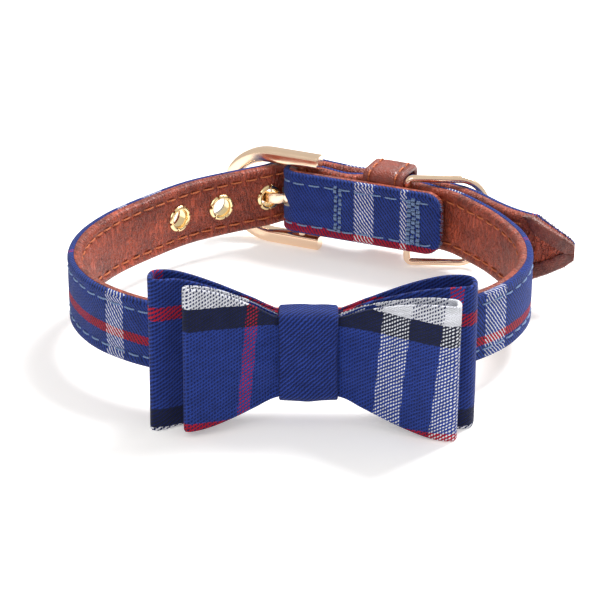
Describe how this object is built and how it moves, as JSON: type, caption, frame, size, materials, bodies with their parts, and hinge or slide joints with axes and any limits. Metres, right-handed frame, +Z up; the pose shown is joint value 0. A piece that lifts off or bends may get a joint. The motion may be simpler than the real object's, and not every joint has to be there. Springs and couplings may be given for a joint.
{
  "type": "pet bow tie collar",
  "caption": "Pet collar of plaid cloth on leather, buckled into a standing loop, with a two-layer bow at the front and a keeper and D-ring at the back.",
  "frame": {"origin": "under the middle of the whole collar, on the surface that it stands on", "axes": "+Z up, -Y towards the bow, +X towards the side where the pointed tip leaves the loop"},
  "size_m": [0.1118, 0.1134, 0.0314],
  "materials": {
    "plaid_cloth": "twill woven, blue with navy, white and red bands",
    "leather": "pebbled, semi-gloss, cognac brown",
    "gold_metal": "polished, pale gold",
    "eyelet_metal": "polished, yellow gold"
  },
  "bodies": {
    "root": {"strap_cover": "plaid_cloth", "strap_lining": "leather", "eyelet_1": "eyelet_metal", "eyelet_2": "eyelet_metal", "eyelet_3": "eyelet_metal", "buckle_frame": "gold_metal", "buckle_tongue": "gold_metal", "keeper": "leather", "d_ring": "gold_metal", "bow_back": "plaid_cloth", "bow_front": "plaid_cloth", "bow_knot": "plaid_cloth"}
  },
  "joints": []
}
